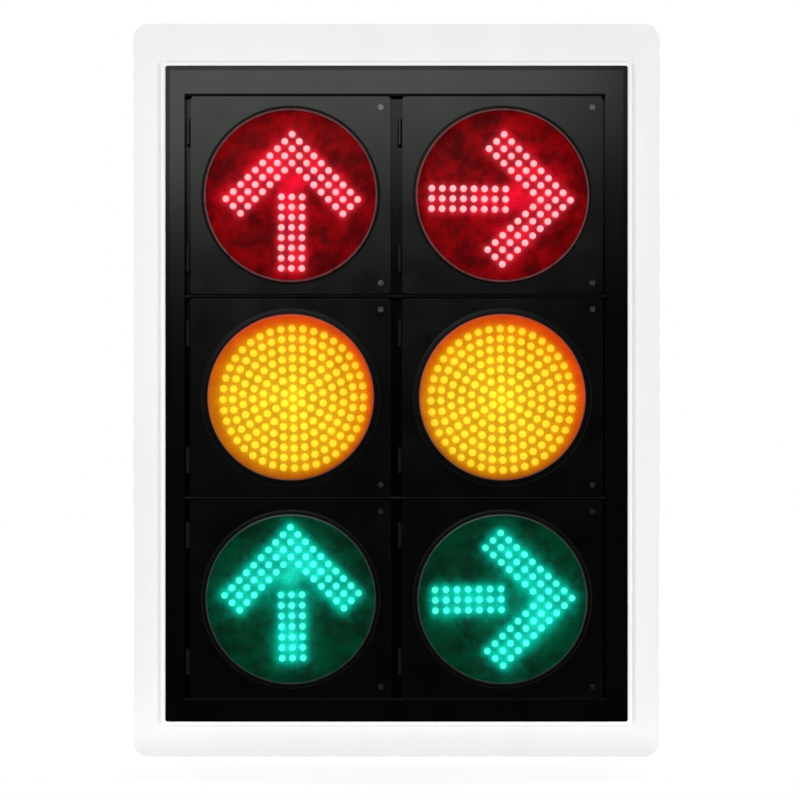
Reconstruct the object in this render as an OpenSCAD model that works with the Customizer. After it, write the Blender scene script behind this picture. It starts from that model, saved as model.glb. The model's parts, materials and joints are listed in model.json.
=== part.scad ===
// Traffic signal head: two columns by three rows of 300 mm LED lamps in one cabinet.
// Front faces -Y, up is +Z, origin on the rear fixing plane.

/* [Cabinet] */
// Width of the front strip beside the doors' latch edges
strip_side = 39; // [36:0.5:70]
// Height of the front strip above the doors
strip_top = 48.5; // [36:0.5:90]
// Height of the front strip below the doors
strip_bottom = 36.5; // [36:0.5:90]
// Depth from the front strip to the back sheet
cab_d = 130; // [120:1:180]
// Outer corner radius of the cabinet
cab_r = 4; // [3:0.5:20]
// Smallest corner radius inside a bent sheet
bend_r = 1; // [0.5:0.1:3]
// Sheet thickness of the cabinet and the front frame
sheet = 2.5; // [1.5:0.1:4]
// Depth of the front frame's skirt inside the cabinet walls
skirt_d = 42; // [38:1:60]
// Gap between the cabinet walls and the skirt or the back sheet
skirt_gap = 0.2; // [0.05:0.05:0.5]

/* [Doors] */
// Width of a door beside its lens
door_side = 24; // [22:0.5:32]
// Height of a door above and below its lens
door_end = 22; // [20:0.5:32]
// Depth of one door from face to rear edge
door_d = 16; // [14:0.5:20]
// Wall thickness of a door
door_t = 3; // [2:0.1:4]
// Corner radius of a door
door_r = 6; // [4.5:0.5:12]
// How far the doors stand in front of the strip
door_proud = 2; // [0:0.5:4]
// Gap between the doors of the two columns
col_gap = 20; // [18:1:26]
// Gap between the doors of two rows
row_gap = 7; // [4:0.5:12]
// Gap between a door and the frame at its latch side, top and bottom
edge_gap = 5; // [3:0.5:10]
// Width of the frame's land behind each door edge
land_w = 11; // [10.5:0.5:13]
// Thickness of a door seal
seal_t = 3; // [2:0.5:5]
// Width of a door seal
seal_w = 8; // [5:0.5:9]
// Gap between a closed door and its seal
seal_gap = 0.3; // [0.2:0.05:0.6]

/* [Hinges] */
// Radius of a hinge pin
pin_r = 2; // [1.5:0.1:2.6]
// Radial running clearance around a pin
pin_gap = 0.06; // [0.02:0.01:0.1]
// Wall around a hinge bore
knuckle_t = 1.6; // [1.2:0.1:2]
// Gap between a knuckle and the door's edge
knuckle_gap = 0.6; // [0.4:0.1:1]
// Length of a door's knuckle
knuckle_l = 18; // [10:1:30]
// Length of each frame knuckle
lug_l = 12; // [8:1:20]
// Axial gap between knuckles
axial_gap = 0.4; // [0.3:0.1:1]
// Height of a hinge above or below the lens centre
hinge_z = 110; // [80:1:130]
// Height of a pin's head
pin_head = 2; // [1:0.5:4]
// Clearance that a door's corner keeps when it swings
swing_gap = 0.7; // [0.5:0.1:2]

/* [Latches] */
// Distance of a latch from the door's free edge
latch_in = 17.5; // [16:0.5:20]
// Distance of a latch from the door's top or bottom edge
latch_end = 19.5; // [18:0.5:30]
// Radius of a latch's head
latch_head_r = 5; // [4:0.5:6]
// Height of a latch's head
latch_head_h = 2.5; // [1.5:0.5:5]
// Radius of a latch's shaft
latch_r = 3.5; // [2.5:0.1:4]
// Radial running clearance of a latch
latch_gap = 0.08; // [0.03:0.01:0.1]
// Width of the screwdriver slot
slot_w = 1.6; // [1:0.1:2]
// Depth of the screwdriver slot
slot_d = 1.2; // [0.8:0.1:1.4]
// Reach of a latch's tongue from its axis
tongue_l = 15; // [13:0.5:17]
// Width of a tongue
tongue_w = 8; // [7.5:0.5:9]
// Thickness of a tongue
tongue_t = 3; // [2:0.5:5]
// Gap between a tongue and the frame behind which it turns
tongue_gap = 0.8; // [0.4:0.1:2]
// Radius of the boss around a latch's bore
latch_boss_r = 8; // [6:0.5:10]
// Depth of that boss behind the door's face
latch_boss_d = 10; // [6:0.5:13]

/* [Lamp modules] */
// Visible diameter of a lens
lens_d = 299; // [290:1:304]
// Wall thickness of a lens
lens_t = 3; // [2:0.1:4]
// Radial gap between a lens and the door's opening
lens_gap = 0.6; // [0.4:0.1:1.5]
// Straight wall of a lens in front of the door's face
lens_wall = 2; // [1:0.5:6]
// Rise of the lens dome above its wall
lens_rise = 10; // [6:0.5:20]
// Width of the lens flange behind the door
flange_w = 8; // [6:0.5:8.5]
// Thickness of the lens flange
flange_t = 4; // [3:0.5:6]
// Thickness of the lens gasket
gasket_t = 3; // [2:0.5:4]
// Wall thickness of a module case
case_t = 3; // [2:0.1:3.5]
// Straight depth of a module case behind the lens flange
case_d = 22; // [20:1:30]
// Depth of the tapered rear of a module case
taper_d = 30; // [28:1:40]
// Outer diameter of a module case's back
case_back_d = 216; // [180:1:240]
// Distance of the fixing ears from the rim of the lens flange
ear_out = 18.5; // [16:0.5:20]
// Radius of a fixing ear
ear_r = 9; // [7.5:0.5:10]
// Shank radius of a module screw
mod_screw_r = 2.5; // [2:0.1:3]
// Head radius of a module screw
mod_head_r = 4.6; // [4:0.1:5.5]
// Head height of a module screw
mod_head_h = 3; // [2:0.5:4]
// Radial gap around a screw or bolt in its hole
hole_gap = 0.15; // [0.05:0.05:0.3]
// Outer radius of the lead spout on a module case
spout_r = 10; // [8:0.5:14]
// Bore radius of the lead spout
spout_bore = 4; // [2:0.5:6]
// Length of the lead spout
spout_l = 12; // [8:1:20]

/* [LED boards] */
// Depth of the LED board's face behind the lens flange
board_in = 16; // [14:0.5:18]
// Thickness of an LED board
board_t = 1.6; // [1.2:0.1:2.4]
// Radial gap between an LED board and its case
board_gap = 0.5; // [0.3:0.1:1]
// Width of the ledge that carries an LED board
ledge_w = 7; // [5:0.5:9]
// Diameter of one LED with its cap
led_d = 9; // [6:0.5:10]
// Height of one LED
led_h = 8.5; // [6:0.5:11]
// LED pitch in the arrows
led_p = 18.2; // [16:0.1:18.4]
// Ring pitch of the full balls
ring_p = 17.4; // [15:0.1:17.8]
// Number of LED rings in a full ball
ball_rings = 7; // [5:1:7]
// LEDs along one arm of an arrow head
arm_n = 10; // [8:1:10]
// LED rows across an arm or a stem
arm_rows = 3; // [2:1:3]
// LEDs along a red arrow's stem
red_stem_n = 8; // [6:1:8]
// Distance from a red arrow's tip to its stem
red_neck = 110; // [100:1:112]
// LEDs along a green arrow's stem
green_stem_n = 7; // [5:1:7]
// Distance from a green arrow's tip to its stem
green_neck = 120; // [105:1:122]
// Height of the tallest part behind an LED board
driver_h = 20; // [12:1:22]

/* [Border board] */
// Width of the border beside the cabinet
border_side = 57; // [30:1:120]
// Width of the border above the cabinet
border_top = 75; // [30:1:120]
// Width of the border below the cabinet
border_bottom = 63; // [30:1:120]
// Corner radius of the border
border_r = 26; // [10:1:29]
// Thickness of the border sheet
border_t = 3; // [2:0.5:5]
// Distance of the border behind the front strip
border_back = 12; // [6:1:16]
// Width of the white edge trim
trim_w = 9; // [6:0.5:12]
// Thickness of the edge trim
trim_t = 1.5; // [1:0.1:2.5]
// Gap between the trim and the cabinet
trim_gap = 0.2; // [0.05:0.05:0.5]
// Width of a bracket
bracket_w = 34; // [24:1:50]
// Thickness of a bracket
bracket_t = 3; // [2:0.5:4]
// Leg of a bracket behind the border
bracket_leg = 26; // [22:1:28]
// Leg of a bracket along the cabinet
bracket_foot = 36; // [32:1:50]
// Distance of a bracket's bolt behind the border
bracket_bolt = 18; // [16:0.5:20]
// Height of the outer side brackets above and below the centre
bracket_z = 400; // [300:5:460]
// Distance of the top and bottom brackets from the centre line
bracket_x = 240; // [100:5:320]

/* [Rear fixing] */
// Length of a mounting bar
bar_l = 640; // [560:5:720]
// Height of a mounting bar
bar_h = 50; // [40:1:80]
// Thickness of a mounting bar
bar_t = 15; // [14:0.5:20]
// Distance between the fixing holes of one bar
fix_x = 500; // [400:5:540]
// Distance between the two bars
fix_z = 700; // [600:5:760]
// Radius of a fixing hole
fix_r = 6.5; // [5:0.5:9]
// Shank radius of the hex bolts
bolt_r = 3; // [2.5:0.1:4]
// Shank length of the hex bolts
bolt_l = 16; // [14:0.5:16]
// Radius across the corners of a bolt head
bolt_head_r = 5.8; // [5:0.1:7]
// Height of a bolt head
bolt_head_h = 4; // [3:0.5:6]
// Distance of a bar's outer bolts from the centre line
bar_bolt_x = 295; // [275:5:300]
// Distance of a bar's inner bolts from the centre line
bar_bolt_in = 90; // [40:5:150]

/* [Cable entry] */
// Bore radius of the cable gland
gland_bore = 7; // [4:0.5:9]
// Radius of the gland's threaded part
gland_r = 12.4; // [11:0.1:16]
// Radial gap around the gland in the cabinet wall
gland_gap = 0.2; // [0.1:0.05:0.5]
// Radius across the corners of the gland's hexagon
gland_hex_r = 17; // [16.5:0.5:20]
// Height of the gland's hexagon
gland_hex_h = 7; // [5:0.5:12]
// Radius of the gland's cap
gland_cap_r = 14; // [12:0.5:16]
// Height of the gland's cap
gland_cap_h = 18; // [12:1:30]
// Height of the gland's nut
gland_nut_h = 6; // [4:0.5:10]
// Distance of the gland behind the front strip
gland_in = 92; // [80:1:98]
// Width of the terminal rail
rail_w = 35; // [30:1:40]
// Height of the terminal rail
rail_h = 7.5; // [6:0.5:12]
// Thickness of the terminal rail
rail_t = 1.2; // [1:0.1:2]
// Length of the terminal rail
rail_l = 240; // [220:5:280]
// Number of terminals
term_n = 12; // [6:1:12]
// Pitch of the terminals
term_p = 16; // [12:0.5:17]
// Width of the terminal block across the rail
term_w = 44; // [38:1:60]
// Height of the terminal block
term_h = 34; // [24:1:40]
// Radius of a terminal's screw well
term_hole = 3.5; // [2:0.5:4.5]
// Distance of the terminal rail below the bottom row's centre
term_drop = 95; // [90:1:110]

/* [Hidden] */
$fn = 64;
eps = 0.01;
y_front = -bar_t - cab_d;
door_w = lens_d + 2 * door_side;
door_h = lens_d + 2 * door_end;
col_p = door_w + col_gap;
row_p = door_h + row_gap;
field_h = 2 * row_p + door_h + 2 * edge_gap;
cab_w = col_p + door_w + 2 * (edge_gap + strip_side);
cab_h = field_h + strip_top + strip_bottom;
grid_drop = (strip_top - strip_bottom) / 2;
lens_r = lens_d / 2;
open_r = lens_r + lens_gap;
flange_r = lens_r + flange_w;
ear_c = flange_r + ear_out;
door_back = door_proud - door_t;
flange_z = door_back - gasket_t;
case_z = flange_z - flange_t;
board_z = case_z - board_in;
case_r = flange_r - 6;
pocket_r = case_r - case_t;
case_end = case_z - case_d - taper_d;
knuckle_r = pin_r + pin_gap + knuckle_t;
hinge_off = knuckle_r + knuckle_gap;
axis_in = knuckle_r + 0.4;
axis_z = door_proud - axis_in;
hinge_gap = hinge_off + norm([hinge_off, axis_in]) + swing_gap;
rec_d = door_d - door_proud + seal_gap + seal_t;
field_w = col_p + door_w + hinge_gap + edge_gap;
field_x = (edge_gap - hinge_gap) / 2;
land_z = door_w / 2 - land_w;
latch_x = door_w / 2 - latch_in;
latch_z = door_h / 2 - latch_end;
tongue_z = -rec_d - sheet - tongue_gap;
ear_x = ear_c * cos(45);
border_z = -border_back;
bolt_z = border_z - border_t - bracket_bolt;
dome_r = (lens_r * lens_r + lens_rise * lens_rise) / (2 * lens_rise);
dome_z = door_proud + lens_wall + lens_rise - dome_r;
term_y = -grid_drop - row_p - term_drop;
black = [0.08, 0.08, 0.08];
white = [0.94, 0.94, 0.93];
steel = [0.7, 0.71, 0.72];
rubber = [0.05, 0.05, 0.05];
lamp_tint = [[0.75, 0.05, 0.05], [0.95, 0.55, 0.05], [0.05, 0.6, 0.4]];

// Face coordinates: x to the right, y up, z towards the viewer from the front strip
module face() {
  translate([0, y_front, 0])
    rotate([90, 0, 0])
      children();
}

// Lamp coordinates: the same, centred on one lens
module lamp(c, r) {
  face()
    translate([(c - 0.5) * col_p, (1 - r) * row_p - grid_drop, 0])
      children();
}

module each_lamp() {
  for (c = [0, 1])
    for (r = [0, 1, 2])
      lamp(c, r)
        children();
}

module rounded(w, h, r) {
  square([w - 2 * r, h], center = true);
  square([w, h - 2 * r], center = true);
  for (x = [-1, 1])
    for (y = [-1, 1])
      translate([x * (w / 2 - r), y * (h / 2 - r)])
        circle(r = r);
}

// A rounded outline that stands off the cabinet's own outline
module around(gap) {
  rounded(cab_w + 2 * gap, cab_h + 2 * gap, max(cab_r + min(gap, 0), bend_r));
}

// A sheet ring or plate between two depths
module layer(z0, z1) {
  translate([0, 0, z0])
    linear_extrude(z1 - z0)
      children();
}

module field(gap) {
  translate([field_x, -grid_drop])
    square([field_w + 2 * gap, field_h + 2 * gap], center = true);
}

// Places for the bolts that clamp brackets, wall and skirt, with z pointing out of the wall
module side_places() {
  for (s = [-1, 1])
    for (y = [-1, 0, 1])
      translate([s * cab_w / 2, y * bracket_z, 0])
        rotate([0, 0, s > 0 ? 0 : 180])
          children();
  for (s = [-1, 1])
    for (x = [-1, 1])
      translate([x * bracket_x, s * cab_h / 2, 0])
        rotate([0, 0, s > 0 ? 90 : -90])
          children();
}

// Places for the bolts that hold the mounting bars, on the back sheet
module bar_places() {
  for (x = [-bar_bolt_x, -bar_bolt_in, bar_bolt_in, bar_bolt_x])
    for (y = [-1, 1])
      translate([x, y * fix_z / 2, -cab_d])
        children();
}

module fix_places() {
  for (x = [-1, 1])
    for (y = [-1, 1])
      translate([x * fix_x / 2, y * fix_z / 2, -cab_d])
        children();
}

module side_holes() {
  side_places()
    translate([0, 0, bolt_z])
      rotate([0, 90, 0])
        cylinder(r = bolt_r + hole_gap, h = 60, center = true);
}

module hex_bolt() {
  translate([0, 0, -bolt_l])
    cylinder(r = bolt_r, h = bolt_l + eps);
  cylinder(r = bolt_head_r, h = bolt_head_h, $fn = 6);
}

module border_board() {
  color(white)
    face()
      difference() {
        layer(border_z - border_t, border_z)
          translate([0, (border_top - border_bottom) / 2])
            rounded(cab_w + 2 * border_side, cab_h + border_top + border_bottom, border_r);
        layer(border_z - border_t - 1, border_z + 1)
          around(trim_gap + trim_t);
      }
}

module border_trim() {
  color(white)
    face()
      difference() {
        union() {
          layer(border_z, border_z + trim_t)
            around(trim_gap + trim_w);
          layer(border_z - border_t, border_z + eps)
            around(trim_gap + trim_t);
        }
        layer(border_z - border_t - 1, border_z + trim_t + 1)
          around(trim_gap);
      }
}

module border_brackets() {
  color(steel)
    face()
      difference() {
        side_places() {
          translate([0, -bracket_w / 2, border_z - border_t - bracket_foot])
            cube([bracket_t, bracket_w, bracket_foot]);
          translate([0, -bracket_w / 2, border_z - border_t - bracket_t])
            cube([bracket_leg, bracket_w, bracket_t]);
        }
        side_holes();
      }
}

module cabinet_shell() {
  color(black)
    face()
      difference() {
        union() {
          layer(-cab_d, -sheet)
            difference() {
              around(0);
              around(-sheet);
            }
          layer(-cab_d, -cab_d + sheet)
            around(-sheet - skirt_gap);
        }
        side_holes();
        bar_places()
          cylinder(r = bolt_r + hole_gap, h = 4 * sheet, center = true);
        fix_places()
          cylinder(r = fix_r, h = 4 * sheet, center = true);
        translate([0, -cab_h / 2, -gland_in])
          rotate([90, 0, 0])
            cylinder(r = gland_r + gland_gap, h = 4 * sheet, center = true);
      }
}

module frame_lugs() {
  for (y = [-hinge_z, hinge_z])
    for (s = [-1, 1])
      translate([-door_w / 2 - hinge_off, y + s * (knuckle_l + lug_l + 2 * axial_gap) / 2, axis_z])
        rotate([90, 0, 0])
          linear_extrude(lug_l, center = true) {
            circle(r = knuckle_r);
            translate([-knuckle_r, -axis_z - rec_d - eps])
              square([2 * knuckle_r, axis_z + rec_d + eps]);
          }
}

module hinge_bores() {
  for (y = [-hinge_z, hinge_z])
    translate([-door_w / 2 - hinge_off, y, axis_z])
      rotate([90, 0, 0])
        cylinder(r = pin_r + pin_gap, h = knuckle_l + 2 * lug_l + 8, center = true);
}

module face_frame() {
  color(black)
    difference() {
      union() {
        face() {
          layer(-sheet, 0)
            difference() {
              around(0);
              field(0);
            }
          layer(-rec_d - sheet, -eps)
            difference() {
              field(sheet);
              field(0);
            }
          layer(-rec_d - sheet, -rec_d)
            field(sheet);
          layer(-skirt_d, -eps)
            difference() {
              around(-sheet - skirt_gap);
              around(-2 * sheet - skirt_gap);
            }
        }
        each_lamp()
          frame_lugs();
      }
      each_lamp() {
        layer(-rec_d - 2 * sheet, -rec_d + eps)
          rounded(door_w - 2 * land_w, door_h - 2 * land_w, door_r);
        hinge_bores();
      }
      face()
        side_holes();
    }
}

module door_seals() {
  color(rubber)
    each_lamp()
      layer(-rec_d, -rec_d + seal_t)
        difference() {
          rounded(door_w - 1, door_h - 1, door_r);
          rounded(door_w - 1 - 2 * seal_w, door_h - 1 - 2 * seal_w, door_r);
        }
}

module hinge_pins() {
  color(steel)
    each_lamp()
      for (y = [-hinge_z, hinge_z])
        translate([-door_w / 2 - hinge_off, y, axis_z])
          rotate([-90, 0, 0]) {
            half = knuckle_l / 2 + lug_l + axial_gap;
            translate([0, 0, -half - 1])
              cylinder(r = pin_r, h = 2 * half + 1 + eps);
            translate([0, 0, half])
              cylinder(r = knuckle_r - 0.4, h = pin_head);
          }
}

module mounting_bars() {
  color(steel)
    face()
      difference() {
        for (y = [-1, 1])
          translate([-bar_l / 2, y * fix_z / 2 - bar_h / 2, -cab_d - bar_t])
            cube([bar_l, bar_h, bar_t]);
        fix_places()
          cylinder(r = fix_r, h = 4 * bar_t, center = true);
        bar_places()
          translate([0, 0, sheet - bolt_l - 0.5])
            cylinder(r = bolt_r + hole_gap, h = bolt_l + 5);
      }
}

module hex_bolts() {
  color(steel)
    face() {
      side_places()
        translate([bracket_t, 0, bolt_z])
          rotate([0, 90, 0])
            hex_bolt();
      bar_places()
        translate([0, 0, sheet])
          hex_bolt();
    }
}

module terminal_rail() {
  color(steel)
    face()
      translate([-col_p / 2 - rail_l / 2, term_y, -cab_d + sheet])
        rotate([90, 0, 90])
          linear_extrude(rail_l) {
            translate([-rail_w / 2 + 4, 0])
              square([rail_w - 8, rail_t]);
            for (s = [-1, 1]) {
              translate([s * (rail_w / 2 - 4) - rail_t / 2, 0])
                square([rail_t, rail_h]);
              translate([s * (rail_w / 2 - 2) - 2.5, rail_h - rail_t])
                square([5, rail_t]);
            }
          }
}

module terminal_block() {
  color([0.75, 0.75, 0.72])
    face()
      translate([-col_p / 2, term_y, -cab_d + sheet + rail_h])
        difference() {
          translate([-term_n * term_p / 2, -term_w / 2, 0])
            cube([term_n * term_p, term_w, term_h]);
          for (s = [-1, 1])
            translate([-term_n * term_p, s * term_w / 2 - 8, term_h * 0.62])
              cube([2 * term_n * term_p, 16, term_h]);
          for (i = [0 : term_n - 1])
            translate([(i - (term_n - 1) / 2) * term_p, 0, 0]) {
              for (s = [-1, 1])
                translate([0, s * (term_w / 2 - 4.5), term_h * 0.4])
                  cylinder(r = term_hole, h = term_h);
              for (s = [-1, 1])
                translate([0, s * term_w / 2, term_h * 0.2])
                  rotate([90, 0, 0])
                    cylinder(r = term_hole * 0.7, h = 16, center = true);
            }
        }
}

module cable_gland() {
  color(black)
    face()
      translate([0, -cab_h / 2, -gland_in])
        rotate([90, 0, 0]) {
          difference() {
            union() {
              translate([0, 0, -sheet - gland_nut_h - 3])
                cylinder(r = gland_r, h = sheet + gland_nut_h + 3 + eps);
              cylinder(r = gland_hex_r, h = gland_hex_h, $fn = 6);
              translate([0, 0, gland_hex_h - eps])
                cylinder(r = gland_cap_r, h = gland_cap_h);
            }
            cylinder(r = gland_bore, h = 200, center = true);
          }
          translate([0, 0, -sheet - gland_nut_h])
            difference() {
              cylinder(r = gland_hex_r + 1, h = gland_nut_h, $fn = 6);
              cylinder(r = gland_r + 0.05, h = 3 * gland_nut_h, center = true);
            }
        }
}

module door(c, r) {
  color(black)
    lamp(c, r)
      difference() {
        union() {
          layer(door_back, door_proud)
            rounded(door_w, door_h, door_r);
          layer(door_proud - door_d, door_proud - eps)
            difference() {
              rounded(door_w, door_h, door_r);
              rounded(door_w - 2 * door_t, door_h - 2 * door_t, door_r - door_t);
            }
          for (x = [-1, 1])
            for (y = [-1, 1])
              translate([x * ear_x, y * ear_x, case_z])
                cylinder(r = ear_r, h = door_back - case_z + eps);
          for (y = [-1, 1])
            translate([latch_x, y * latch_z, door_proud - latch_boss_d])
              cylinder(r = latch_boss_r, h = latch_boss_d - eps);
          for (y = [-hinge_z, hinge_z])
            translate([-door_w / 2 - hinge_off, y, axis_z])
              rotate([90, 0, 0])
                linear_extrude(knuckle_l, center = true) {
                  circle(r = knuckle_r);
                  translate([0, -knuckle_r])
                    square([hinge_off + door_t / 2, knuckle_r]);
                }
        }
        layer(case_z - 1, door_proud + 1)
          circle(r = open_r);
        for (x = [-1, 1])
          for (y = [-1, 1])
            translate([x * ear_x, y * ear_x, case_z - 1])
              cylinder(r = mod_screw_r + hole_gap, h = gasket_t + flange_t + 2);
        for (y = [-1, 1])
          translate([latch_x, y * latch_z, 0])
            cylinder(r = latch_r + latch_gap, h = 60, center = true);
        hinge_bores();
      }
}

module lens(c, r) {
  color(lamp_tint[r])
    lamp(c, r)
      rotate_extrude()
        difference() {
          union() {
            intersection() {
              translate([0, dome_z])
                circle(r = dome_r, $fn = 256);
              translate([0, case_z])
                square([lens_r, 60]);
            }
            translate([0, case_z])
              square([flange_r, flange_t]);
          }
          intersection() {
            translate([0, dome_z])
              circle(r = dome_r - lens_t, $fn = 256);
            translate([-1, case_z - 1])
              square([lens_r - lens_t + 1, 60]);
          }
        }
}

module gasket(c, r) {
  color(rubber)
    lamp(c, r)
      layer(flange_z, door_back)
        difference() {
          circle(r = flange_r);
          circle(r = open_r);
        }
}

module led() {
  intersection() {
    cylinder(r = led_d / 2, h = led_h + 1);
    translate([0, 0, led_h - led_d * 0.7])
      sphere(r = led_d * 0.7);
  }
}

// Arrow that points up: a square grid turned by 45 degrees for the head, and a straight stem
module arrow(stem_n, neck) {
  top = (neck + (stem_n - 1) * led_p) / 2;
  half = led_p * sqrt(0.5);
  for (i = [0 : arm_n - 1])
    for (j = [0 : arm_n - 1])
      if (min(i, j) < arm_rows)
        translate([(j - i) * half, top - (i + j) * half, 0])
          children();
  for (i = [0 : arm_rows - 1])
    for (j = [0 : stem_n - 1])
      translate([(i - (arm_rows - 1) / 2) * led_p, top - neck - j * led_p, 0])
        children();
}

module ball() {
  children();
  for (k = [1 : ball_rings])
    for (i = [0 : 6 * k - 1])
      rotate([0, 0, 90 + i * 60 / k])
        translate([k * ring_p, 0, 0])
          children();
}

module led_board(c, r) {
  color([0.06, 0.1, 0.07])
    lamp(c, r) {
      translate([0, 0, board_z - board_t])
        cylinder(r = pocket_r - board_gap, h = board_t);
      translate([0, 0, board_z - eps])
        if (r == 1)
          ball()
            led();
        else
          rotate([0, 0, c == 0 ? 0 : -90])
            arrow(r == 0 ? red_stem_n : green_stem_n, r == 0 ? red_neck : green_neck)
              led();
      translate([-62, -20, board_z - board_t - driver_h])
        cube([48, 40, driver_h + eps]);
      for (x = [8, 32])
        translate([x, 18, board_z - board_t - driver_h * 0.9])
          cylinder(r = 9, h = driver_h * 0.9 + eps);
      translate([2, -34, board_z - board_t - driver_h * 0.6])
        cube([60, 28, driver_h * 0.6 + eps]);
      translate([-40, 42, board_z - board_t - driver_h * 0.5])
        cube([70, 12, driver_h * 0.5 + eps]);
    }
}

module case(c, r) {
  color(black)
    lamp(c, r)
      difference() {
        union() {
          layer(case_z - case_t, case_z) {
            circle(r = flange_r);
            for (a = [45 : 90 : 315])
              rotate([0, 0, a]) {
                translate([flange_r / 2, -ear_r + 1.5])
                  square([ear_c - flange_r / 2, 2 * ear_r - 3]);
                translate([ear_c, 0])
                  circle(r = ear_r);
              }
          }
          rotate_extrude()
            polygon([
              [0, case_end],
              [case_back_d / 2, case_end],
              [case_r, case_z - case_d],
              [case_r, case_z - case_t / 2],
              [0, case_z - case_t / 2]
            ]);
          for (a = [0 : 45 : 315])
            rotate([0, 0, a])
              translate([36, -2, case_end - 3])
                cube([case_back_d / 2 - 46, 4, 3 + eps]);
          translate([0, 0, case_end - spout_l])
            cylinder(r = spout_r, h = spout_l + eps);
        }
        rotate_extrude()
          polygon([
            [0, case_end + case_t],
            [case_back_d / 2 - case_t, case_end + case_t],
            [pocket_r - ledge_w, case_z - case_d],
            [pocket_r - ledge_w, board_z - board_t],
            [pocket_r, board_z - board_t],
            [pocket_r, case_z + 1],
            [0, case_z + 1]
          ]);
        translate([0, 0, case_end - 2 * spout_l])
          cylinder(r = spout_bore, h = 4 * spout_l);
        for (x = [-1, 1])
          for (y = [-1, 1])
            translate([x * ear_x, y * ear_x, case_z])
              cylinder(r = mod_screw_r + hole_gap, h = 6 * case_t, center = true);
      }
}

module screws(c, r) {
  color(steel)
    lamp(c, r)
      for (x = [-1, 1])
        for (y = [-1, 1])
          translate([x * ear_x, y * ear_x, case_z - case_t]) {
            translate([0, 0, -eps])
              cylinder(r = mod_screw_r, h = case_t + flange_t + gasket_t - 1);
            translate([0, 0, -mod_head_h])
              cylinder(r = mod_head_r, h = mod_head_h);
          }
}

// The tongue points to the lens's level when released; s is 1 for the upper latch and -1 for the lower
module latch(c, r, s) {
  color(steel)
    lamp(c, r)
      translate([latch_x, s * latch_z, 0])
        difference() {
          union() {
            translate([0, 0, door_proud])
              cylinder(r = latch_head_r, h = latch_head_h);
            translate([0, 0, tongue_z - tongue_t])
              cylinder(r = latch_r, h = door_proud - tongue_z + tongue_t + eps);
            translate([-tongue_w / 2, s > 0 ? -tongue_l : -tongue_w / 2, tongue_z - tongue_t])
              cube([tongue_w, tongue_l + tongue_w / 2, tongue_t]);
          }
          translate([-slot_w / 2, -20, door_proud + latch_head_h - slot_d])
            cube([slot_w, 40, 10]);
        }
}

border_board();
border_trim();
border_brackets();
cabinet_shell();
face_frame();
door_seals();
hinge_pins();
mounting_bars();
hex_bolts();
terminal_rail();
terminal_block();
cable_gland();
door(0, 0);  // door_red_left
lens(0, 0);  // lens_red_left
gasket(0, 0);  // gasket_red_left
led_board(0, 0);  // led_board_red_left
case(0, 0);  // case_red_left
screws(0, 0);  // screws_red_left
latch(0, 0, 1);  // latch_upper_red_left
latch(0, 0, -1);  // latch_lower_red_left
door(1, 0);  // door_red_right
lens(1, 0);  // lens_red_right
gasket(1, 0);  // gasket_red_right
led_board(1, 0);  // led_board_red_right
case(1, 0);  // case_red_right
screws(1, 0);  // screws_red_right
latch(1, 0, 1);  // latch_upper_red_right
latch(1, 0, -1);  // latch_lower_red_right
door(0, 1);  // door_amber_left
lens(0, 1);  // lens_amber_left
gasket(0, 1);  // gasket_amber_left
led_board(0, 1);  // led_board_amber_left
case(0, 1);  // case_amber_left
screws(0, 1);  // screws_amber_left
latch(0, 1, 1);  // latch_upper_amber_left
latch(0, 1, -1);  // latch_lower_amber_left
door(1, 1);  // door_amber_right
lens(1, 1);  // lens_amber_right
gasket(1, 1);  // gasket_amber_right
led_board(1, 1);  // led_board_amber_right
case(1, 1);  // case_amber_right
screws(1, 1);  // screws_amber_right
latch(1, 1, 1);  // latch_upper_amber_right
latch(1, 1, -1);  // latch_lower_amber_right
door(0, 2);  // door_green_left
lens(0, 2);  // lens_green_left
gasket(0, 2);  // gasket_green_left
led_board(0, 2);  // led_board_green_left
case(0, 2);  // case_green_left
screws(0, 2);  // screws_green_left
latch(0, 2, 1);  // latch_upper_green_left
latch(0, 2, -1);  // latch_lower_green_left
door(1, 2);  // door_green_right
lens(1, 2);  // lens_green_right
gasket(1, 2);  // gasket_green_right
led_board(1, 2);  // led_board_green_right
case(1, 2);  // case_green_right
screws(1, 2);  // screws_green_right
latch(1, 2, 1);  // latch_upper_green_right
latch(1, 2, -1);  // latch_lower_green_right
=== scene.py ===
import json
import math
import random

import bmesh
import bpy
import numpy as np
from mathutils import Matrix, Quaternion, Vector


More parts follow.
